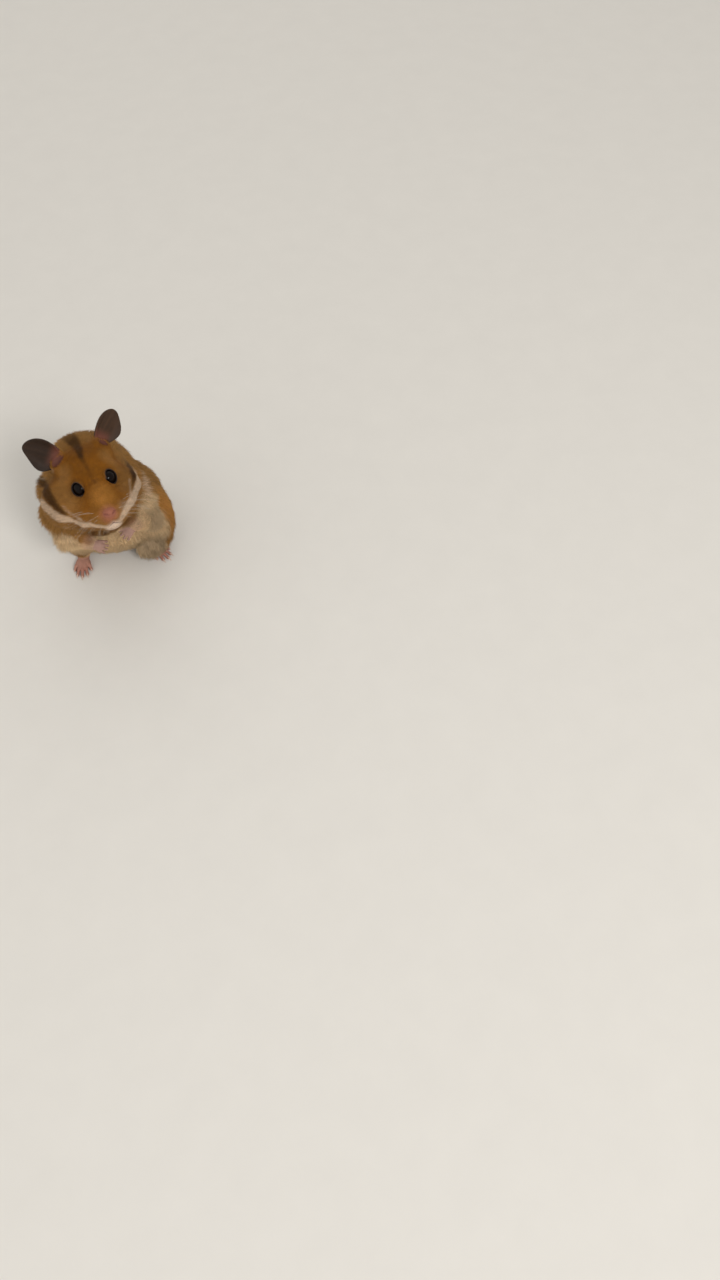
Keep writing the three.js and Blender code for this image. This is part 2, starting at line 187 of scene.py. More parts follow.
def limb(a, b, ra, rb):
    a, b = np.array(a, np.float32), np.array(b, np.float32)
    way = b - a
    long2 = float(way @ way)

    def field(p):
        d = p - a
        t = np.clip(d @ way / long2, 0, 1)
        return length_of(d - t[:, None] * way) - (ra + t * (rb - ra))

    return field


def joined(width, one, other):
    h = np.maximum(width - np.abs(one - other), 0) / width
    return np.minimum(one, other) - h * h * width / 4


def with_parts(found, parts, p, width):
    for part in parts:
        found = joined(width, found, part(p))
    return found


def cut_by(found, cuts, p, width):
    return -with_parts(-found, cuts, p, width)


def blend(width, *fields):
    return lambda p: with_parts(fields[0](p), fields[1:], p, width)


def placed(place, field):
    return lambda p: field(into(place, p))


def mirrored(s, point):
    return (s * point[0], point[1], point[2])


def both(make):
    return [make(s) for s in SIGNS]


EYE_AT = {s: np.array(mirrored(s, EYE["centre"])) for s in SIGNS}


def eye_socket(s):
    return oval(EYE_AT[s] + SOCKET["out"] * np.array(mirrored(s, EYE["looks"])), (SOCKET["radius"],) * 3)


head_whole = blend(
    4,
    oval((0, 11, -0.6), (12.6, 13.5, 11.4)),
    oval((0, -0.5, -2.6), (6.2, 11.5, 6.8)),
    oval((0, -0.5, -8.4), (11, 11, 7.6)),
    *both(lambda s: oval((s * 7, -3.5, -10.4), (6.6, 8, 6.4))),
    limb((0, -5, -6.8), (0, -11.2, -8), 7.4, 5),
    *both(lambda s: oval((s * 3.6, -10.8, -9.8), (3.9, 4.4, 3.6))),
    oval((0, -4, -13), (6.8, 8.5, 4.2)),
    oval((0, -9.6, -13.2), (3.4, 3.4, 2.5)),
    oval((-13.4, 8, -8), (10.2, 12.5, 11)),
    oval((9, 6, -9.2), (9.8, 12, 10.6)),
    oval((-2, 5, -14), (14, 12, 9)),
    *both(lambda s: oval((s * 9, 14.5, 5.5), (4.2, 4.2, 4.6))),
)
sockets = both(eye_socket)


def head_field(p):
    return cut_by(head_whole(p), sockets, p, 1.6)


def thigh_field(side):
    leg = HIND[side]
    return blend(
        5,
        oval(leg["hip"], (10.4, 14, 17), 14),
        limb(leg["knee"], leg["ankle"], leg["knee_size"], 4.3),
        limb(leg["ankle"], (leg["heel"][0], leg["heel"][1] - 1.5, 4.6), 4.2, 3.6),
    )


def foreleg_field(side):
    leg = FORE[side]
    upper = limb(leg["shoulder"], leg["elbow"], 7.8, 6)
    return blend(4, upper, limb(leg["elbow"], leg["wrist"], 5.6, 2.9))


trunk_field = blend(
    8,
    oval((0, 23.2, 21.4), (25.6, 22.4, 22.5)),
    oval((0, 11, 27), (26, 16.5, 19)),
    oval((-2.4, 20, 42), (19.6, 20, 21)),
    oval((-2.2, 5.6, 45), (25, 17, 15.5)),
)
neck_field = blend(6, oval((-4, 4.5, 57), (21.5, 14, 12)), oval((-2.6, 14.4, 62), (16.5, 12.8, 12)))
flesh = blend(
    3.5,
    blend(6, trunk_field, neck_field, placed(HEAD, head_field)),
    *[thigh_field(side) for side in SIDES],
    *[foreleg_field(side) for side in SIDES],
)


# ---- how deep the coat is
tail_field = limb(TAIL["root"], TAIL["tip"], *TAIL["radii"])
hairless_ends = [
    *[placed(foot_frame(side), limb((0, -2, 2.2), (0, -15, 1.5), 2.6, 3.6)) for side in SIDES],
    *[placed(paw_frame(side), limb((0, 0.5, 0), (0, -6.5, -0.6), 2.2, 2.8)) for side in SIDES],
]


def coat_depth(p):
    """The height of the coat's outline over the skin: least on the face, feet and ears."""
    h = into(HEAD, p)
    from_nose = length_of(h - np.array((0, -13, -8), p.dtype))
    deep = 0.42 + 1.5 * ramp(from_nose, 7, 27) + 1.1 * ramp(from_nose, 27, 44)
    deep = deep * (1 - 0.5 * (1 - ramp(length_of(h - np.array((0, 14, 9), p.dtype)), 9, 20)))
    deep = deep + 0.9 * ramp(-h[:, 2], 9.5, 17) * ramp(from_nose, 9, 20) * (1 - ramp(from_nose, 27, 40))
    for s in SIGNS:
        to_eye = length_of(h - EYE_AT[s].astype(p.dtype))
        deep = np.minimum(deep, 0.34 + 0.15 * np.maximum(to_eye - 4, 0))
        to_ear = length_of(h - np.array((s * 10, 15.6, 9.2), p.dtype))
        deep = np.minimum(deep, 0.7 + 0.3 * np.maximum(to_ear - 3, 0))
    for bare in hairless_ends:
        deep = np.minimum(deep, 0.22 + 0.3 * np.maximum(bare(p), 0))
    deep = np.minimum(deep, 0.5 + 0.6 * np.maximum(tail_field(p), 0))
    return np.minimum(deep, 1.0 + 0.25 * np.maximum(p[:, 2], 0))


# ---- bare parts: lids, nose, ears, feet
def across_lids(s, d):
    """Offsets from the eye's centre, in the plane of its opening and out along its gaze."""
    look = single(unit(mirrored(s, unit(EYE["looks"]))))
    across = single(unit(np.cross(look, (0.0, 0.25 * s, 1.0))))
    return d @ across, d @ np.cross(across, look), d @ look


def opening_field(s, d):
    """The almond between the lids, drawn out a little to the corner by the nose: negative in it."""
    half_width, half_height, tilt = OPENINGS[s]
    c, sn = math.cos(math.radians(tilt)), math.sin(math.radians(tilt))
    u, v, w = across_lids(s, d)
    a, b = (u * c + v * sn) / half_width, (v * c - u * sn) / half_height
    found = (np.sqrt(a * a + b * b) - 1) * 2.5
    corner = np.sqrt((u - s * 2.25) ** 2 + (v + 0.7) ** 2) - 0.55
    return np.where(w > 0, joined(0.8, found, corner), 3.0)


def lid_field(s):
    """A thin shell over the eyeball with an opening."""
    centre = single(EYE_AT[s])

    def field(p):
        d = p - centre
        shell = np.abs(length_of(d) - (EYE["radius"] + LID["gap"])) - LID["half"]
        return -joined(0.6, -shell, opening_field(s, d))

    return field


# The bare pad: a tip, two rounded wings and the strip down to the lip.
nose_field = blend(
    0.9,
    oval((0, -15.7, -6.5), (1.9, 1.55, 1.55)),
    *both(lambda s: oval((s * 1.25, -15.35, -6.8), (1.15, 1.35, 1.3))),
    oval((0, -15.0, -8.3), (1.1, 1.3, 1.4)),
)
# Two limbs make each comma nostril. Then comes the groove to the lip.
nose_cuts = [
    *both(lambda s: limb((s * 0.75, -17.3, -7.0), (s * 1.65, -16.5, -6.35), 0.3, 0.36)),
    *both(lambda s: limb((s * 1.65, -16.5, -6.35), (s * 2.5, -15.6, -6.6), 0.34, 0.2)),
    limb((0, -17.4, -7.4), (0, -15.9, -11.3), 0.16, 0.28),
]
# From the middle of the lip to the corner of the mouth.
MOUTH = [((0, -15.7, -11.3), 0.42), ((2.0, -14.6, -12.2), 0.32), ((4.4, -11.8, -12.7), 0.2),
         ((6.2, -8.6, -12.2), 0.12)]
mouth_cuts = [limb(mirrored(s, a), mirrored(s, b), ra, rb)
              for (a, ra), (b, rb) in zip(MOUTH, MOUTH[1:]) for s in SIGNS]
lip_parts = [
    *both(lambda s: oval((s * 2.1, -13.6, -10.2), (2.5, 2.4, 2.1))),
    oval((0, -12.6, -13.3), (2.3, 2.0, 1.3)),
]


class Ear:
    """A thin cupped leaf in the head's frame."""

    def __init__(self, side):
        self.side, shape = SIDES[side], EARS[side]
        self.root = np.array(shape["root"], np.float32)
        self.along = single(unit(shape["along"]))
        faces = np.array(shape["faces"], float)
        self.faces = single(unit(faces - (faces @ self.along) * self.along))
        self.across = single(np.cross(self.along, self.faces))
        self.width, self.length, self.taper = shape["width"], shape["length"], shape["taper"]

    def local(self, h):
        """Shares across and along the leaf, height over its middle sheet, and half width."""
        d = h * np.array((self.side, 1, 1), h.dtype) - self.root
        up = np.clip(d @ self.along / self.length, -0.5, 1.5)
        beside, belly = d @ self.across, np.clip(up, 0, 1)
        wide = self.width / 2 * (0.7 + 0.36 * np.sin(np.pi * belly * 0.75))
        wide = wide * np.where(beside > 0, 1.36 - self.taper * ramp(belly, 0.25, 0.95), 0.94)
        x = beside / wide
        flare = 1.6 * up * up - 1.6
        hollow = EAR["cup"] * (1 - 0.45 * up) * (np.minimum(x * x, 2) - 0.55) + flare
        ridge = 0.22 * np.sin(5.2 * x + 1.4) * np.sin(np.pi * belly)
        return x, up, d @ self.faces - hollow - ridge, wide

    def field(self, h):
        x, up, off, wide = self.local(h)
        y = (up - 0.5) / np.where(up > 0.5, 0.5, 0.62)
        k = np.sqrt(x * x + y * y)
        past_rim = k * (k - 1) / np.maximum(np.sqrt((x / wide) ** 2 + (2 * y / self.length) ** 2), 1e-6)
        a = past_rim + EAR["rim"]
        b = 0.9 * np.abs(off) - 0.6 * np.clip(1 - up, 0, 1) ** 2
        outside = np.sqrt(np.maximum(a, 0) ** 2 + np.maximum(b, 0) ** 2)
        return np.minimum(np.maximum(a, b), 0) + outside - EAR["rim"]

    def hollow(self):
        """The pit in front of the root."""
        at = self.root + 2.2 * self.along + 2.4 * self.faces
        return oval(at * np.array((self.side, 1, 1)), (3.3, 2.8, 3.3))


ears = [Ear(side) for side in SIDES]
ear_pits = [ear.hollow() for ear in ears]


def digit_points(kind, i):
    """Points along a toe or finger in its foot's frame: root, knuckle, pad, claw root, claw tip."""
    if kind == "foot":
        t = i / (DIGITS[kind] - 1) - 0.5
        turn, reach = math.radians(t * 46), FOOT_LENGTH - 13.2 - 9.5 * t * t
        start, heights = (t * 4.6, -12 + 5 * t * t), (1.7, 1.75, 0.86, 1.0, 0.2)
        shares = (0, 0.5, 0.93, 1.0, 1.28)
    else:
        t = i / (DIGITS[kind] - 1) - 0.5
        turn, reach = math.radians(t * 32), PAW_LENGTH - 6.1 - 2.4 * t * t
        start, heights = (t * 3.6, -4.6 + 1.4 * t * t), (0.0, -0.5, -1.9, -2.05, -3.4)
        shares = (0, 0.52, 0.84, 0.9, 1.0)
    return [
        np.array((start[0] + math.sin(turn) * reach * k, start[1] - math.cos(turn) * reach * k, z))
        for k, z in zip(shares, heights)
    ]


DIGITS = {"foot": 5, "paw": 4}


def digits(kind):
    return [digit_points(kind, i) for i in range(DIGITS[kind])]


def digit_field(kind, size):
    made = []
    for root, knuckle, pad, _, _ in digits(kind):
        made.append(limb(root, knuckle, 1.02 * size, 0.86 * size))
        made.append(limb(knuckle, pad, 0.84 * size, 0.66 * size))
        made.append(oval(pad - np.array((0, 0.05, 0.12)), np.array((0.78, 0.9, 0.66)) * size))
    return blend(0.2, *made)


FOOT_PADS = [(-1.6, -10.6, 0.55), (1.6, -10.6, 0.55), (0, -11.6, 0.55)]
PAW_PADS = [(-1.1, -4.4, -1.2), (1.1, -4.4, -1.2), (0.9, -1.6, -1.5)]
foot_field = blend(
    1.4,
    limb((0, -0.2, 2.3), (0, -7, 2.15), 2.45, 2.35),
    oval((0, -9.6, 1.75), (2.65, 4.4, 2.0)),
    digit_field("foot", 0.98),
    *[oval(at, (0.95, 1.1, 0.6)) for at in FOOT_PADS],
)
paw_field = blend(
    0.9,
    limb((0, 2.4, 0), (0, -1.8, 0), 2.3, 1.95),
    oval((0, -3.4, 0), (2.15, 2.7, 1.5)),
    digit_field("paw", 0.74),
    *[oval(at, (0.8, 0.95, 0.55)) for at in PAW_PADS],
)
feet = [placed(foot_frame(side), foot_field) for side in SIDES]
paws = [placed(paw_frame(side), paw_field) for side in SIDES]
lids = both(lid_field)


def skin_field(p):
    """The whole skin. Each join and each cut has its own width of blend."""
    h = into(HEAD, p)
    found = with_parts(flesh(p) + coat_depth(p), lip_parts, h, 1.2)
    found = with_parts(found, [nose_field], h, 0.9)
    found = cut_by(found, ear_pits, h, 1.6)
    found = with_parts(found, [ear.field for ear in ears], h, 1.6)
    found = with_parts(found, feet, p, 2.2)
    found = with_parts(found, paws, p, 1.2)
    found = with_parts(found, [tail_field], p, 1.5)
    found = cut_by(found, nose_cuts, h, 0.25)
    found = cut_by(found, mouth_cuts, h, 0.3)
    for s, lid in zip(SIGNS, lids):
        d = h - EYE_AT[s].astype(h.dtype)
        found = -joined(0.9, -found, opening_field(s, d) - 0.25)
        found = np.maximum(found, EYE["radius"] + 0.02 - length_of(d))
        found = joined(0.5, found, lid(h))
    return np.maximum(found, FLOOR_CLEAR - p[:, 2])


# ---- meshing a field
CORNERS = np.array([(i & 1, i >> 1 & 1, i >> 2) for i in range(8)])
EDGES = [(i, i | bit) for i in range(8) for bit in (1, 2, 4) if not i & bit]
LEAP = 4  # the coarse grid's step, in cells
NEWTON_STEPS = 3
LONGEST_STEP = 0.2


def on_grid(field, low, cell, size):
    """The field at each grid point near its surface, and only its sign elsewhere."""
    coarse_size = [n // LEAP for n in size]
    grid = np.stack(np.meshgrid(*[np.arange(n) for n in coarse_size], indexing="ij"), -1).reshape(-1, 3)
    middles = low + (grid * LEAP + (LEAP - 1) / 2) * cell
    rough = field(single(middles)).reshape(coarse_size)
    for axis in range(3):
        rough = np.repeat(rough, LEAP, axis)
    fine = np.abs(rough) < LEAP * cell * 1.35
    rough[fine] = field(single(low + np.argwhere(fine) * cell))
    return rough


def surface(field, low, high, cell):
    """Vertices and quads of the closed surface of a field: one vertex in each crossed cell."""
    size = [int(math.ceil((b - a) / cell / LEAP)) * LEAP for a, b in zip(low, high)]
    values = on_grid(field, low, cell, size)
    inside = values < 0
    corners = [inside[tuple(slice(c, n - 1 + c) for c, n in zip(corner, size))] for corner in CORNERS]
    split = np.logical_or.reduce(corners) & ~np.logical_and.reduce(corners)
    cells = np.argwhere(split)
    index = np.full(split.shape, -1)
    index[split] = np.arange(len(cells))
    total, count = np.zeros((len(cells), 3)), np.zeros(len(cells))
    at_corner = [values[tuple((cells + c).T)] for c in CORNERS]
    for a, b in EDGES:
        va, vb = at_corner[a], at_corner[b]
        crossed = (va < 0) != (vb < 0)
        t = np.where(crossed, va / np.where(crossed, va - vb, 1), 0)
        total += np.where(crossed[:, None], CORNERS[a] + t[:, None] * (CORNERS[b] - CORNERS[a]), 0)
        count += crossed
    points = low + cell * (cells + total / count[:, None])
    quads = []
    for axis in range(3):
        u, v = (np.eye(3, dtype=int)[(axis + k) % 3] for k in (1, 2))
        ends = [slice(1, n - 1) for n in size]
        ends[axis] = slice(1, size[axis] - 2)
        here = inside[tuple(ends)]
        ends[axis] = slice(2, size[axis] - 1)
        there = inside[tuple(ends)]
        at = np.argwhere(here != there) + 1
        found = np.stack([index[tuple((at - shift).T)] for shift in (u + v, v, 0 * u, u)], 1)
        quads.append(np.where(inside[tuple(at.T)][:, None], found, found[:, ::-1]))
    return onto_surface(field, points), np.concatenate(quads)


def slope_of(field, p, here, step=0.03):
    shifts = np.eye(3) * step
    return np.stack([(field(single(p + s)) - here) / step for s in shifts], 1)


def onto_surface(field, p):
    """The points after a few Newton steps to where the field is 0."""
    for _ in range(NEWTON_STEPS):
        here = field(single(p))
        slope = slope_of(field, p, here)
        move = slope * (here / np.maximum(np.einsum("ij,ij->i", slope, slope), 0.25))[:, None]
        p = p - np.clip(move, -LONGEST_STEP, LONGEST_STEP)
    return p


def add_object(name, data):
    obj = bpy.data.objects.new(name, data)
    bpy.context.scene.collection.objects.link(obj)
    return obj


def mesh_object(name, points, faces, smooth=True):
    """An object from row-frame points and an array of faces that all have the same number of sides."""
    mesh = bpy.data.meshes.new(name)
    faces = np.ascontiguousarray(faces, np.int32)
    mesh.vertices.add(len(points))
    mesh.vertices.foreach_set("co", np.ascontiguousarray(points, np.float32).ravel())
    mesh.loops.add(faces.size)
    mesh.loops.foreach_set("vertex_index", faces.ravel())
    mesh.polygons.add(len(faces))
    mesh.polygons.foreach_set("loop_start", np.arange(0, faces.size, faces.shape[1], dtype=np.int32))
    mesh.update(calc_edges=True)
    mesh.polygons.foreach_set("use_smooth", np.full(len(faces), smooth))
    return add_object(name, mesh)


def read(items, attribute, width, kind=np.float32):
    """An attribute of a mesh's items, in rows of width numbers."""
    found = np.empty(len(items) * width, kind)
    items.foreach_get(attribute, found)
    return found.reshape(-1, width)


def points_of(mesh):
    """A mesh's vertices in the modelling frame."""
    return (read(mesh.vertices, "co", 3).astype(float) - ORIGIN) / MM


def paint(mesh, name, colours):
    """A colour at each vertex, in linear light."""
    attribute = mesh.attributes.new(name, "FLOAT_COLOR", "POINT")
    full = np.ones((len(colours), 4), np.float32)
    full[:, :3] = colours
    attribute.data.foreach_set("color", full.ravel())


def unwrap(obj):
    """The skin's own unwrap, which the coat's patches share."""
    bpy.context.view_layer.objects.active = obj
    obj.select_set(True)
    bpy.ops.object.mode_set(mode="EDIT")
    bpy.ops.mesh.select_all(action="SELECT")
    bpy.ops.uv.smart_project(angle_limit=math.radians(70), island_margin=0.002)
    bpy.ops.object.mode_set(mode="OBJECT")
    obj.data.uv_layers.active.name = "OFBake"


# ---- noise
LATTICE = rng.random((24, 24, 24)) * 2 - 1


def noise(p, size, channel=0):
    """Smooth noise from -1 to 1 whose lumps are about size across."""
    q = p / size + 7.31 * channel
    cell = np.floor(q).astype(int)
    t = q - cell
    t = t * t * (3 - 2 * t)
    total = np.zeros(len(p))
    for corner in CORNERS:
        at = tuple(((cell + corner) % len(LATTICE)).T)
        total += LATTICE[at] * np.prod(np.where(corner, t, 1 - t), axis=1)
    return total


def noise3(p, size, channel=0):
    return np.stack([noise(p, size, channel + k) for k in range(3)], 1)


# ---- markings
def linear(red, green, blue):
    c = np.array((red, green, blue)) / 255
    return np.where(c < 0.04045, c / 12.92, ((c + 0.055) / 1.055) ** 2.4)


COAT_GAIN = 1.54  # makes up for the shade between the hairs
GOLD = linear(134, 84, 22)
# BRIDGE, the paler top of the muzzle, is partly the coat's own tone and partly a painted highlight.
BRIDGE = linear(154, 104, 42)
TAN = linear(138, 97, 48)
BROWN = linear(148, 108, 58)
BACK = linear(148, 110, 60)
DARK = linear(62, 38, 14)
COLLAR = linear(112, 76, 38)
PALE = linear(186, 160, 124)
GREY = linear(151, 130, 103)
WHITE = linear(193, 169, 143)
CHIN = linear(202, 181, 162)
PINK = linear(158, 104, 88)
PAW_PINK = linear(159, 124, 110)
FOOT_PINK = linear(170, 124, 106)
NOSE_PINK = linear(150, 90, 74)
EAR_DARK = linear(46, 30, 18)
EAR_PINK = linear(108, 62, 48)
LID_DARK = linear(30, 18, 14)
LID_PALE = linear(92, 60, 28)
UNDERFUR = linear(66, 54, 42)
# The mouth and nostril tones are partly the moist skin's red and partly painted shade inside the
# openings.
MOUTH_RED_AND_SHADE = linear(96, 46, 40)
NOSTRIL_RED_AND_SHADE = linear(60, 28, 24)
UNDER_HAIR = 0.62  # the skin's share of the tone of the coat over it

# Soft patches of the head, in its own frame: tone, weight, centre, radii at full strength and at none.
HEAD_PATCHES = [
    (GOLD, 1, (0, 2, 2), 14, 25),
    (TAN, 1, (15, -1, -4), 4, 13),
    (TAN, 1, (-15, 1, -3), 4, 13),
    (TAN * 1.25, 1, (10.5, 7, 5), 2, 7),
    (TAN * 1.25, 1, (-10.5, 7, 5), 2, 7),
    # Partly painted highlight: the paler bridge of the nose, where the top of the muzzle catches the
    # light.
    (BRIDGE, 1, (0.6, -11, -1.5), 2.5, 8),
    (COLLAR, 0.8, (0, 2, -20), 10, 20),
]
# The marks are paths of (centre-line point, half width). Those of the head are in its own frame.
CRESCENTS = [
    [((-0.4, -15, -13), 1.2), ((-5.2, -14.4, -11.8), 1.1), ((-8.8, -12, -10.9), 1.0),
     ((-11.4, -9, -10.9), 1.2), ((-14.6, -5.4, -10.8), 1.6), ((-17.4, -3.4, -9.3), 1.8),
     ((-19.8, -1.4, -7.1), 1.8), ((-21.3, 1.4, -4.9), 1.8), ((-22, 6, -3.6), 1.6),
     ((-22.4, 18, -5.6), 1.0)],
    [((-0.4, -15, -13), 1.2), ((1.6, -15.5, -11.9), 1.0), ((4.9, -15.4, -10.2), 1.2),
     ((7.5, -13.4, -9), 1.3), ((10.3, -10.3, -8.8), 1.5), ((13.2, -6.6, -8.5), 1.5),
     ((16.2, -2, -7.9), 1.6), ((18.2, 3.4, -7.9), 1.7)],
]
PALE_LINES = [
    [((-11.4, -9, -8.4), 0.4), ((-13.6, -5.7, -7.2), 0.5), ((-14.8, -4.3, -5.5), 0.45),
     ((-15.5, -2.9, -3), 0.2)],
    [((11.4, -8.2, -7), 0.3), ((12.8, -5.4, -5.4), 0.35), ((14.1, -1.6, -3.2), 0.2)],
    [((-12.9, 13.5, 5.4), 0.4), ((-15, 16.8, 2.6), 0.9), ((-18.4, 24, 0), 0.7)],
]
FLASHES = [
    [((-15.7, -4.3, -6.9), 0.4), ((-17.4, -2.6, -4.6), 0.9), ((-18.6, -0.3, -1.6), 1.4),
     ((-19.1, 4.6, 0.4), 1.9), ((-18.9, 11, 0.6), 2.1), ((-19.2, 21, -0.6), 2.0),
     ((-19.6, 29, -2), 1.2)],
    [((14.4, -3.6, -5.6), 0.2), ((15.9, -1, -4.6), 0.8), ((17.1, 3.3, -3.9), 1.2)],
]
# On the left these two go on over the neck. They are drawn on the side, whatever its depth.
FLASH_END = [((0, 3.3, -3.9), 1.2), ((0, 12, -5.6), 1.4), ((0, 18, -7.2), 1.3), ((0, 26, -8.6), 0.9)]
CRESCENT_END = [((0, 3.4, -7.9), 1.7), ((0, 11, -10.2), 1.5), ((0, 18, -11.8), 1.1),
                ((0, 27, -12.4), 0.6)]
STREAK = [((-0.5, 6.5, 10.1), 0.5), ((0.2, 12.4, 10.7), 1.3), ((0.2, 21.4, 10.6), 1.8),
          ((-0.9, 31, 9.2), 2.8)]
BROW_LINE = [((0, -6.3, 3.2), 0.15), ((-0.2, -1.6, 5.3), 0.25), ((-0.4, 2.9, 8.4), 0.4),
             ((-0.5, 7, 10.2), 0.7)]
SIDE_LINE = [((19, 22, 44), 0.3), ((21.2, 10.7, 48.6), 0.8), ((21.6, 5, 51), 0.9), ((21.6, -1, 50), 0.9)]


def stroke(p, path, soft):
    """1 along a path through points with half widths, falling to 0 over soft."""
    nearest = np.full(len(p), 1e3)
    for (a, ra), (b, rb) in zip(path, path[1:]):
        nearest = np.minimum(nearest, limb(a, b, ra, rb)(single(p)))
    return 1 - ramp(nearest, -0.3 * soft, soft)


def near(p, centre, inner, outer):
    return 1 - ramp(length_of(p - np.array(centre)), inner, outer)


def mixed(colour, other, weight):
    return colour + (other - colour) * weight[:, None]


def layered(colour, *layers):
    """Tones laid over a colour in turn. A layer is a tone and its weight at each point."""
    for tone, weight in layers:
        colour = mixed(colour, tone, weight)
    return colour


def belly_share(p):
    """1 on the pale chest, belly and insides of the legs."""
    x, y, z = p.T
    ragged = noise(p, 2.6, 5)
    right = 1 - ramp(x, -12, 2)
    back = np.interp(z, (5, 11, 23, 35, 43, 50), (-1, -0.6, 2.6, 4.2, 2.2, 0.2))
    under = 9 * (1 - ramp(np.abs(x + 2), 10, 16)) * (1 - ramp(z, 13, 22))
    back = back + right * 7 * (1 - ramp(z, 18, 36)) + under
    collar = 40.3 + np.where(x > 0, 0.5 + 0.026 * x * x, 0) - 4 * (1 - ramp(np.abs(x + 0.4), 1.5, 5.5))
    return ramp(back + 1.2 * ragged - y, -1.8, 1.8) * (1 - ramp(z - collar - 1.1 * ragged, -1.3, 1.3))


def coat_colour(p):
    """The coat's colour at points on its outline, in linear light."""
    h = into(HEAD, p)
    broad = noise(p, 9, 1)
    fine = noise(p, 1.6, 2)
    belly = belly_share(p)
    back = ramp(p[:, 1], 8, 26) * (1 - ramp(length_of(h - np.array((0, 5, 0))), 24, 20))
    shaded = np.maximum(near(p, (20, -5, 36), 3, 11) * 0.85, near(p, (17.5, -1, 9), 7, 15))
    dark_chest = near(p, (-2, -12, 43.5), 3, 9) * (1 - belly)
    streak = stroke(h, STREAK, 1.5) * (0.85 + 0.15 * fine)
    outer = ramp(h[:, 0], 8, 12) * (1 - 0.6 * ramp(h[:, 1], 12, 30))
    from_side = h * (0, 1, 1)
    found = layered(
        BROWN,
        (BACK, back),
        # Painted light: a pale tan patch on the left flank, lightening the side that turns away from the
        # lamps.
        (TAN * 1.8, near(p, (26, 3, 27), 5, 18) * 0.75),
        *[(tone, near(h, *patch) * weight) for tone, weight, *patch in HEAD_PATCHES],
        (PALE, belly),
        (GREY, belly * shaded * ramp(broad, -1.2, -0.2)),
        (DARK, dark_chest * ramp(fine, -0.6, 0.3) * 0.8),
        (WHITE, dark_chest * (1 - ramp(noise(p, 0.9, 6), -0.5, -0.2)) * 0.5),
        (WHITE, stroke(p, SIDE_LINE, 1.3) * 0.7),
        (DARK, streak * (1 - 0.6 * ramp(h[:, 1], 22, 34))),
        (DARK, stroke(h, BROW_LINE, 1.0) * 0.5),
        *[(DARK, stroke(h, flash, 1.1) * 0.85) for flash in FLASHES],
        (DARK, stroke(from_side, FLASH_END, 1.3) * outer * 0.85),
        (WHITE, stroke(from_side, CRESCENT_END, 1.1) * outer),
        (WHITE, near(h, (6.4, -13, -8.6), 1, 4.5) * 0.35),
        *[(WHITE, stroke(h, line, 0.9) * weight) for line, weight in zip(PALE_LINES, (0.7, 0.7, 0.35))],
        *[(WHITE, stroke(h, crescent, 0.9)) for crescent in CRESCENTS],
        (CHIN, near(h, (-0.3, -13.4, -13.2), 2.4, 4.8)),
        *[(DARK, near(h, EYE_AT[s], 3.6, 5.6) * 0.22) for s in SIGNS],
    )
    for side in SIDES:
        wrist, heel = FORE[side]["wrist"], (*HIND[side]["heel"], 2)
        found = layered(
            found,
            (PALE, near(p, wrist, 5, 9) * belly),
            (PAW_PINK, near(p, wrist, 1.5, 5) * 0.6),
            (PALE, near(p, heel, 7, 11) * 0.7),
        )
    found = mixed(found, NOSE_PINK, near(h, (-0.4, -16, -7.2), 1.6, 5.4) * 0.7)
    return found * (1 + 0.1 * broad + 0.12 * fine)[:, None] * COAT_GAIN


# ---- where the skin is bare
def ear_share(p):
    """1 on the leaf of an ear, and the leaf's own colour."""
    h = into(HEAD, p)
    leaf, tone = np.zeros(len(p)), EAR_DARK
    for ear in ears:
        x, up, off, _ = ear.local(h)
        here = (np.abs(x) < 1.25) & (up > -0.15) & (up < 1.15) & (np.abs(off) < 2.2)
        share = here * ramp(up, -0.05, 0.15)
        pink = ramp(off, -0.25, 0.25) * (1 - ramp(up, 0.1, 0.42)) * (1 - ramp(x, 0.25, 0.8))
        down = noise(np.stack([9 * x, 2.2 * up, 3 * off], 1), 1.0, 9)
        # Painted light: the left ear's leaf is made 1.9 times lighter than the right ear's.
        dark = EAR_DARK * (1.9 if ear.side > 0 else 1.0)
        own = mixed(dark * (1 + 0.28 * down)[:, None], EAR_PINK, pink)
        tone = mixed(tone, own, (share > leaf) * 1.0)
        leaf = np.maximum(leaf, share)
    return leaf, tone


def paw_share(p):
    """1 on the toes, fingers, palms and soles, 0 where the coat of the leg starts."""
    found = np.zeros(len(p))
    ends = [(paw_frame, paws, -1.6, 1.0), (foot_frame, feet, -6.5, -3.5)]
    for frame_of, fields, low, high in ends:
        for side, field in zip(SIDES, fields):
            on_it = 1 - ramp(field(single(p)), 0.1, 0.6)
            found = np.maximum(found, (1 - ramp(into(frame_of(side), p)[:, 1], low, high)) * on_it)
    return found


def bare_share(p):
    """1 where no coat grows: nose, lids, lips, palms, soles, and most of the ears and tail."""
    h = single(into(HEAD, p))
    found = 1 - ramp(nose_field(h), -0.05, 0.3)
    for s in SIGNS:
        d = h - single(EYE_AT[s])
        found = np.maximum(found, near(h, EYE_AT[s], EYE["radius"] + 0.45, EYE["radius"] + 0.75))
        found = np.maximum(found, (1 - ramp(opening_field(s, d), 0.4, 0.8)) * (length_of(d) < 6))
    for cut in mouth_cuts[:4] + nose_cuts[4:]:
        found = np.maximum(found, 1 - ramp(cut(h), 0.0, 0.25))
    for pit in ear_pits:
        found = np.maximum(found, 1 - ramp(pit(h), 0.0, 0.7))
    tail = (1 - ramp(tail_field(single(p)), 0.2, 0.6)) * ramp(p[:, 1], 41.5, 44)
    return np.maximum(np.maximum(found, 0.75 * tail), paw_share(p))


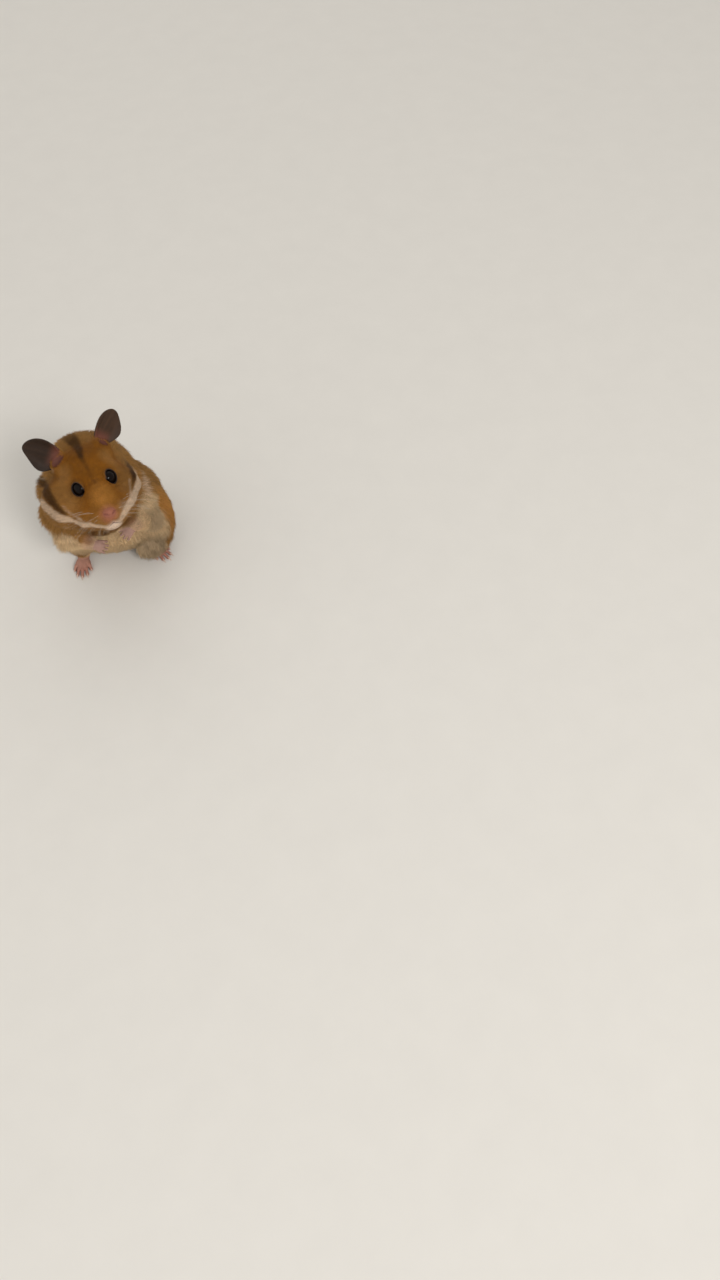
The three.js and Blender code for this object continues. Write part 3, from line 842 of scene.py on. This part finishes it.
def skin_colour(p, outline):
    """The bare skin where it shows, and elsewhere the markings of the coat over it."""
    h = into(HEAD, p)
    close = single(h)
    leaf, ear_tone = ear_share(p)
    hind = mixed(FOOT_PINK, PINK, (1 - ramp(p[:, 2], 0.3, 1.4)) * 0.5)
    for side in SIDES:
        toes = 1 - ramp(into(foot_frame(side), p)[:, 1], -17, -11)
        hind = mixed(hind, PINK, toes * 0.7 * (p[:, 2] < 6))
    limb_end = np.where((p[:, 2] > 20)[:, None], PAW_PINK, hind)
    limb_end = limb_end * (1 + 0.08 * noise(p, 0.8, 12))[:, None]
    found = layered(
        coat_colour(outline) * UNDER_HAIR,
        *[(EAR_PINK * 0.8, 1 - ramp(pit(close), 0.4, 1.4)) for pit in ear_pits],
        (ear_tone, leaf),
        (NOSE_PINK, 1 - ramp(nose_field(close), -0.3, 0.5)),
        (limb_end, paw_share(p)),
    )
    for s in SIGNS:
        d = h - EYE_AT[s]
        on_lids = 1 - ramp(length_of(d), EYE["radius"] + 0.7, EYE["radius"] + 1.0)
        in_opening = (1 - ramp(opening_field(s, d), 0.35, 0.65)) * (length_of(d) < 6)
        found = layered(found, (LID_PALE, on_lids * 0.5), (LID_DARK, in_opening))
    return layered(
        found,
        # Partly painted shade: dark red in the mouth and nostril grooves.
        *[(MOUTH_RED_AND_SHADE, (1 - ramp(cut(close), -0.05, 0.25)) * 0.9) for cut in mouth_cuts[:4]],
        *[(NOSTRIL_RED_AND_SHADE, (1 - ramp(cut(close), -0.15, 0.1)) * 0.9) for cut in nose_cuts],
        (FOOT_PINK * 1.1, 1 - ramp(tail_field(single(p)), 0.1, 0.5)),
    )


# ---- the lie of the coat
def lie_of_coat(p):
    """The way that the hair points: back from the nose over the head, and down to the feet and tail."""
    h = into(HEAD, p)
    way = unit(h - np.array((0, -17, -5.5)))
    for s in SIGNS:
        aside = h - EYE_AT[s]
        way = way + unit(aside) * near(h, EYE_AT[s], 3.8, 6.8)[:, None] * 2.2
    head_way = way @ HEAD_TURN.T
    to_tail = ramp(p[:, 1], 18, 36) * (1 - ramp(p[:, 2], 10, 34))
    body_way = np.stack([0.012 * p[:, 0], 0.18 + 1.1 * to_tail, -1 + 0.6 * to_tail], 1)
    on_head = near(h, (-1, 5, -3), 19, 27)
    way = mixed(body_way, head_way, on_head)
    for side, s in SIDES.items():
        leg, foot = FORE[side], foot_frame(side)
        forearm = np.array(leg["wrist"]) - np.array(leg["elbow"])
        beyond_elbow = ramp((p - np.array(leg["elbow"])) @ forearm / (forearm @ forearm), 0.0, 0.7)
        off_arm = limb(leg["elbow"], leg["wrist"], 6, 3.2)(single(p))
        fore = (1 - ramp(off_arm, 0, 3)) * beyond_elbow
        way = mixed(way, unit(forearm), fore)
        thigh = (1 - ramp(thigh_field(side)(single(p)), -2.5, 2)) * (p[:, 1] < 20)
        way = mixed(way, np.array((0.1 * s, -0.4, -0.9)), thigh * 0.8)
        at = into(foot, p)
        on_foot = (1 - ramp(at[:, 2], 4, 7)) * (1 - ramp(np.abs(at[:, 0]), 5, 8))
        on_foot = on_foot * (1 - ramp(at[:, 1], -2, 1))
        way = mixed(way, -foot[1][:, 1], on_foot)
    for ear in ears:
        x, up, off, _ = ear.local(h)
        on_ear = ramp(up, -0.1, 0.15) * (1 - ramp(np.abs(x), 1, 1.6))
        on_ear = on_ear * (1 - ramp(np.abs(off), 1, 4)) * (up < 1.3)
        along = (ear.along * np.array((ear.side, 1, 1))) @ HEAD_TURN.T
        way = mixed(way, along, on_ear)
    return unit(way)


# ---- tufts
def grown(mesh, count):
    """Roots spread by the coat's density, and the normal and the place in the unwrap of each."""
    mesh.calc_loop_triangles()
    triangles = read(mesh.loop_triangles, "vertices", 3, np.int32)
    loops = read(mesh.loop_triangles, "loops", 3, np.int32)
    uv = read(mesh.uv_layers["OFBake"].uv, "vector", 2)[loops]
    normals = read(mesh.vertex_normals, "vector", 3)
    corners = points_of(mesh)[triangles]
    middle = corners.mean(1)
    area = length_of(np.cross(corners[:, 1] - corners[:, 0], corners[:, 2] - corners[:, 0])) / 2
    wanted = area * (3.2 / (coat_depth(middle) + 0.15)) ** 0.95  # denser where the hair is shorter
    wanted *= 1 - ramp(ear_share(middle)[0], 0, 0.7)
    wanted *= (middle[:, 2] >= LOWEST_ROOT) * (1 - bare_share(middle))
    total = np.cumsum(wanted)
    picks = np.searchsorted(total, (np.arange(count) + rng.random(count)) / count * total[-1])
    picks = np.minimum(picks, len(triangles) - 1)
    a, b = rng.random(count), rng.random(count)
    over = a + b > 1
    a, b = np.where(over, 1 - a, a), np.where(over, 1 - b, b)
    share = np.stack([1 - a - b, a, b], 1)[:, :, None]
    found = [(values[picks] * share).sum(1) for values in (corners, normals[triangles], uv)]
    return found[0], unit(found[1]), found[2]


RING_TURNS = np.radians((90, 210, 330))
RING_SIZES = (0.9, 0.8)  # shares of the tuft's width, from the root up
PATCH = 0.003  # a tuft's size on the unwrap


def tuft_faces():
    """The triangles between a tuft's two rings, and from the upper ring to the tip."""
    found = []
    for c in range(3):
        a, b = c, (c + 1) % 3
        found += [(a, b, b + 3), (a, b + 3, a + 3)]
    return np.array(found + [(3 + c, 3 + (c + 1) % 3, 6) for c in range(3)])


TUFT_FACES = tuft_faces()


class Tufts:
    """Tapered three-sided locks that lean over from their roots along the lie of the coat."""

    def __init__(self, roots, normals, places):
        n, rings = len(roots), len(RING_SIZES)
        deep = coat_depth(roots)
        length = (0.3 + 1.75 * deep) * (0.8 + 0.4 * rng.random(n))
        width = 0.055 + 0.031 * length * (0.8 + 0.4 * rng.random(n))
        way = lie_of_coat(roots)
        way = way + 0.2 * noise3(roots, 3.2, 20) + 0.1 * noise3(roots, 1.1, 30)
        way = way + 0.08 * rng.standard_normal((n, 3))
        along = way - normals * np.einsum("ij,ij->i", way, normals)[:, None]
        along = along / np.maximum(length_of(along), 1e-3)[:, None]
        aside = np.cross(normals, along)
        lift = 15 + 7 * ramp(deep, 1.2, 2.2) + 5 * noise(roots, 2.4, 40) + 4 * rng.standard_normal(n)
        lift = np.radians(lift)
        h = into(HEAD, roots)
        for s in SIGNS:
            lift = lift + 0.35 * near(h, EYE_AT[s], 4.2, 7)  # clear of the eyes
        lift = np.clip(lift, 0.12, 0.8)
        bend = 0.25 * rng.standard_normal(n)
        spin = rng.random(n) * 0.8
        base = centre = roots - np.minimum(0.15, 0.08 * length)[:, None] * normals
        vertices, patch = [], []
        for k, size in enumerate(RING_SIZES):
            t = (k + 0.5) / rings
            angle = lift * (1.6 - 1.5 * t)
            step = along * np.cos(angle)[:, None] + normals * np.sin(angle)[:, None]
            step = unit(step + aside * (bend * t)[:, None])
            rise = unit(np.cross(step, aside))
            for c, turn in enumerate(RING_TURNS):
                out = aside * np.cos(turn + spin)[:, None] + 0.6 * rise * np.sin(turn + spin)[:, None]
                vertices.append(centre + out * (width * size / 2)[:, None])
                patch.append((k / rings - 0.5, c / 2 - 0.5))
            centre = centre + step * (length / rings)[:, None]
        vertices.append(centre)
        patch.append((0.5, 0.0))
        self.points = np.stack(vertices, 1)
        self.points[:, :, 2] = np.maximum(self.points[:, :, 2], FLOOR_CLEAR)
        self.uv = places[:, None, :] + PATCH * np.array(patch)
        outline = base + 0.7 * (centre - base) + 0.3 * deep[:, None] * normals
        tone = coat_colour(outline) * (0.9 + 0.2 * rng.random(n))[:, None]
        pale = belly_share(roots)
        ticked = (rng.random(n) < 0.14) * ramp(deep, 1.0, 2.4) * (1 - pale)
        tip = tone * (1.08 - 0.5 * ticked)[:, None]
        root = tone * (0.68 + 0.14 * pale)[:, None] + UNDERFUR * (0.25 * ramp(deep, 0.6, 2.5))[:, None]
        rows = [root + (tip - root) * ramp(k / rings, 0.0, 0.75) for k in range(rings)]
        self.colours = np.stack([row for row in rows for _ in RING_TURNS] + [tip], 1)

    def piece(self, name, chosen):
        """One joined mesh of the chosen tufts."""
        points = self.points[chosen]
        each = points.shape[1]
        faces = (TUFT_FACES[None] + (np.arange(len(points)) * each)[:, None, None]).reshape(-1, 3)
        obj = mesh_object(name, to_row(points.reshape(-1, 3)), faces)
        paint(obj.data, "coat", self.colours[chosen].reshape(-1, 3))
        layer = obj.data.uv_layers.new(name="OFBake")
        at_loops = self.uv[chosen].reshape(-1, 2)[faces.ravel()]
        layer.uv.foreach_set("vector", single(at_loops).ravel())
        return obj


# ---- materials
class Material:
    """A Principled material and a short way to add nodes to it."""

    def __init__(self, name, specular):
        self.material = bpy.data.materials.new(name)
        self.material.use_nodes = True
        self.tree = self.material.node_tree
        self.shader = self.tree.nodes["Principled BSDF"]
        self.shader.inputs["Specular IOR Level"].default_value = specular

    def node(self, kind, **inputs):
        made = self.tree.nodes.new(kind)
        for socket, value in inputs.items():
            self.feed(made.inputs[socket], value)
        return made

    def feed(self, socket, value):
        if isinstance(value, bpy.types.NodeSocket):
            self.tree.links.new(value, socket)
        else:
            socket.default_value = value

    def noise(self, per_metre, detail=3.0, rough=0.6):
        where = self.node("ShaderNodeTexCoord").outputs["Object"]
        made = self.node("ShaderNodeTexNoise", Vector=where, Scale=per_metre, Detail=detail)
        made.inputs["Roughness"].default_value = rough
        return made.outputs["Fac"]

    def spread(self, value, low, high):
        made = self.node("ShaderNodeMapRange", Value=value)
        made.inputs["To Min"].default_value = low
        made.inputs["To Max"].default_value = high
        return made.outputs["Result"]

    def times(self, colour, factor):
        made = self.node("ShaderNodeVectorMath")
        made.operation = "SCALE"
        self.feed(made.inputs[0], colour)
        self.feed(made.inputs["Scale"], factor)
        return made.outputs[0]

    def bump(self, height, strength, depth):
        made = self.node("ShaderNodeBump", Height=height)
        made.inputs["Strength"].default_value = strength
        made.inputs["Distance"].default_value = depth
        self.tree.links.new(made.outputs["Normal"], self.shader.inputs["Normal"])

    def on(self, obj):
        obj.data.materials.clear()
        obj.data.materials.append(self.material)


def painted(material, name):
    """The colour painted at the vertices."""
    made = material.node("ShaderNodeAttribute")
    made.attribute_name = name
    return made.outputs["Color"]


def grained(name, specular, colour, grain, tones, rough_grain, roughness):
    """A material whose colour and roughness vary. colour is a tone or the name of a painted one."""
    made = Material(name, specular)
    base = painted(made, colour) if isinstance(colour, str) else colour
    inputs = made.shader.inputs
    made.feed(inputs["Base Color"], made.times(base, made.spread(made.noise(*grain), *tones)))
    made.feed(inputs["Roughness"], made.spread(made.noise(rough_grain), *roughness))
    return made


# ---- camera, floor and light
CAMERA_AT = (47.8, -271.2, 368)
CAMERA_HEADING = 13.7  # degrees from +Y towards +X
CAMERA_TILT = 60  # degrees below the horizon
LENS = 26.44
LAMPS = [  # name, place in metres, watts, width in metres
    ("key", (0.45, -0.95, 0.95), 8.0, 0.4),
    ("fill", (-0.95, -0.5, 0.75), 3.6, 2.0),
    ("back", (0.1, 1.0, 0.9), 2.7, 1.6),
]
WORLD_LIGHT, WORLD_SEEN = 0.55, 0.68  # its light on the object, and the pale that the camera sees
FLOOR_SIDE = 4.0  # metres from the middle to an edge


def add_camera():
    data = bpy.data.cameras.new("camera")
    data.lens = LENS
    data.sensor_width = 36
    camera = add_object("camera", data)
    camera.location = to_row(np.array(CAMERA_AT))
    camera.rotation_euler = (math.radians(90 - CAMERA_TILT), 0, -math.radians(CAMERA_HEADING))
    bpy.context.scene.camera = camera


def add_lamp(name, at, power, width):
    """A round soft lamp that points at the middle of the floor."""
    data = bpy.data.lights.new(name, "AREA")
    data.energy = power
    data.shape = "DISK"
    data.size = width
    lamp = add_object(name, data)
    lamp.location = at
    lamp.rotation_euler = Vector(at).to_track_quat("Z", "Y").to_euler()


def add_stage():
    corners = FLOOR_SIDE * np.array([(-1, -1, 0), (1, -1, 0), (1, 1, 0), (-1, 1, 0)])
    floor = mesh_object("floor", corners, np.array([(0, 1, 2, 3)]), smooth=False)
    grained("floor", 0.2, (0.72, 0.69, 0.64), (60, 5.0), (0.97, 1.03), 140, (0.75, 0.9)).on(floor)
    floor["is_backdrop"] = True
    for lamp in LAMPS:
        add_lamp(*lamp)
    world = bpy.data.worlds.new("world")
    world.use_nodes = True
    tree = world.node_tree
    tree.nodes["Background"].inputs["Color"].default_value = (1, 0.98, 0.94, 1)
    seen = tree.nodes.new("ShaderNodeMapRange")
    seen.inputs["To Min"].default_value = WORLD_LIGHT
    seen.inputs["To Max"].default_value = WORLD_SEEN
    tree.links.new(tree.nodes.new("ShaderNodeLightPath").outputs["Is Camera Ray"], seen.inputs["Value"])
    tree.links.new(seen.outputs["Result"], tree.nodes["Background"].inputs["Strength"])
    bpy.context.scene.world = world
    bpy.context.scene.view_settings.view_transform = "Standard"


# ---- eyes, claws and whiskers
def add_eye(side):
    """A smooth ball in the place of the CAD eye."""
    around, down = 48, 32
    theta = np.linspace(0, np.pi, down + 1)[1:-1]
    phi = np.linspace(0, 2 * np.pi, around, endpoint=False)
    ring = np.stack([np.outer(np.sin(theta), np.cos(phi)), np.outer(np.sin(theta), np.sin(phi)),
                     np.outer(np.cos(theta), np.ones(around))], -1).reshape(-1, 3)
    points = np.concatenate([ring, [(0, 0, 1), (0, 0, -1)]])
    points = points * EYE["radius"] + EYE_AT[SIDES[side]]
    at = np.arange(len(ring)).reshape(-1, around)
    faces = []
    for a, b in zip(at[:-1], at[1:]):
        a2, b2 = np.roll(a, -1), np.roll(b, -1)
        faces += [np.stack([a, b, b2], 1), np.stack([a, b2, a2], 1)]
    faces.append(np.stack([np.full(around, len(ring)), at[0], np.roll(at[0], -1)], 1))
    faces.append(np.stack([np.full(around, len(ring) + 1), np.roll(at[-1], -1), at[-1]], 1))
    eye = mesh_object("eyeball_" + side, to_row(out_of(HEAD, points)), np.concatenate(faces))
    grained("eye", 0.1, (0.006, 0.0035, 0.003), (420, 4.0), (0.4, 1.6), 900, (0.04, 0.09)).on(eye)
    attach(eye, "root")
    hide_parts("eye_" + side)


def threads(paths, radii, sides):
    """Closed tapered tubes through points. paths is (tubes, points, 3) and radii (tubes, points)."""
    tubes, steps, _ = paths.shape
    tangent = unit(np.gradient(paths, axis=1))
    aside = unit(np.cross(tangent, np.array((0.31, 0.17, 0.94))))
    rise = np.cross(tangent, aside)
    turn = np.linspace(0, 2 * np.pi, sides, endpoint=False)
    out = aside[:, :, None] * np.cos(turn)[:, None] + rise[:, :, None] * np.sin(turn)[:, None]
    points = paths[:, :, None] + out * radii[:, :, None, None]
    index = np.arange(tubes * steps * sides).reshape(tubes, steps, sides)
    a, b = index[:, :-1], index[:, 1:]
    a2, b2 = np.roll(a, -1, 2), np.roll(b, -1, 2)
    faces = np.concatenate([np.stack(three, -1).reshape(-1, 3) for three in ((a, a2, b2), (a, b2, b))])
    return points.reshape(-1, 3), faces


def add_claws():
    """Curved horn at the end of each toe and finger."""
    paths = []
    for side in SIDES:
        for kind, place in (("foot", foot_frame(side)), ("paw", paw_frame(side))):
            for *_, pad, root, tip in digits(kind):
                lift = np.array((0, 0, 0.35))
                middle = (root + tip) / 2 + lift
                t = np.linspace(0, 1, 7)[:, None]
                start = root + (pad - root) * 0.6 + lift * 0.6
                path = (1 - t) ** 2 * start + 2 * t * (1 - t) * middle + t ** 2 * tip
                paths.append(out_of(place, path))
    radii = np.tile(0.36 * (1 - np.linspace(0, 1, 7) ** 1.6) + 0.03, (len(paths), 1))
    points, faces = threads(np.array(paths), radii, 8)
    points[:, 2] = np.maximum(points[:, 2], FLOOR_CLEAR)
    claws = mesh_object("claws", to_row(points), faces)
    grained("claw", 0.5, (0.52, 0.36, 0.27), (1600,), (0.8, 1.2), 1200, (0.25, 0.45)).on(claws)
    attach(claws, "root")


def add_whiskers():
    """Rows of whiskers on each side of the muzzle, and a few over each eye."""
    paths, radii = [], []
    steps = np.linspace(0, 1, 9)[:, None]
    thinning = 1 - 0.7 * steps[:, 0]
    for s in SIGNS:
        for row in range(4):
            for k in range(4):
                aside, height = 3.0 + 0.8 * k + 0.2 * row, -7.0 - 1.15 * row + 0.25 * k
                root = np.array((s * aside, -14.0 + 1.7 * k, height))
                way = unit(np.array((s * (0.85 + 0.1 * k), -0.42 + 0.2 * k, 0.28 - 0.22 * row)))
                way = unit(way + 0.1 * rng.standard_normal(3))
                size = (7.5 + 2.5 * k - 0.8 * row) * (0.8 + 0.4 * rng.random())
                droop = np.array((0, 0.10, -0.16 + 0.1 * rng.standard_normal())) * size
                paths.append(root + way * size * steps + droop * steps ** 2)
                radii.append(0.042 * thinning)
        for k in range(2):
            root = EYE_AT[s] + np.array((-s * 0.9 + s * 0.9 * k, 1.8 + 0.4 * k, 4.0))
            way = unit(np.array((s * 0.3, 0.7 + 0.2 * k, 1.0)))
            paths.append(root + way * 5.5 * steps + np.array((s * 0.8, 1.6, -0.9)) * steps ** 2)
            radii.append(0.035 * thinning)
    points, faces = threads(out_of(HEAD, np.array(paths)), np.array(radii), 4)
    whiskers = mesh_object("whiskers", to_row(points), faces)
    grained("whisker", 0.5, (0.78, 0.71, 0.61), (300,), (0.85, 1.1), 900, (0.35, 0.5)).on(whiskers)
    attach(whiskers, "root")


# ---- the skin and the coat
def add_skin():
    low, high = ((np.array(corner) - ORIGIN) / MM for corner in cad_box)
    points, quads = surface(skin_field, low - SKIN_MARGIN, high + SKIN_MARGIN, SKIN_CELL)
    skin = mesh_object("skin", to_row(points), quads)
    fewer = skin.modifiers.new("fewer", "DECIMATE")
    fewer.ratio = min(1.0, SKIN_TRIANGLES / (2 * len(quads)))
    fewer.use_collapse_triangulate = True
    reduced = skin.evaluated_get(bpy.context.evaluated_depsgraph_get())
    skin.data = bpy.data.meshes.new_from_object(reduced)
    skin.modifiers.clear()
    skin.data.name = "skin"
    unwrap(skin)
    at = points_of(skin.data)
    outline = at + read(skin.data.vertex_normals, "vector", 3) * coat_depth(at)[:, None]
    paint(skin.data, "skin", np.clip(skin_colour(at, outline), 0, 1))
    material = grained("skin", 0.25, "skin", (1400,), (0.82, 1.18), 700, (0.45, 0.72))
    material.bump(material.noise(3200, 4.0, 0.7), 0.5, 0.00018)
    material.on(skin)
    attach(skin, "root")
    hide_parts(*[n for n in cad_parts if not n.startswith("eye")])
    return skin


def add_coat(skin):
    """The tufts, in pieces from the floor up: down on the face and feet, the longer coat elsewhere."""
    roots, normals, places = grown(skin.data, TUFTS)
    short = coat_depth(roots) < SHORT_COAT
    material = grained("coat", 0.12, "coat", (900,), (0.75, 1.25), 1500, (0.55, 0.8))
    for kind, chosen in (("down", short), ("coat", ~short)):
        tufts = Tufts(roots[chosen], normals[chosen], places[chosen])
        order = np.argsort(roots[chosen][:, 2])
        for k, part in enumerate(np.array_split(order, math.ceil(len(order) / TUFTS_PER_PIECE))):
            piece = tufts.piece(f"{kind}_{k + 1}", part)
            material.on(piece)
            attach(piece, "root")


add_camera()
add_stage()
skin = add_skin()
add_coat(skin)
for side in SIDES:
    add_eye(side)
add_claws()
add_whiskers()

{"cad": [list(c) for c in cad_box], "visual": [list(c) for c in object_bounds()]}
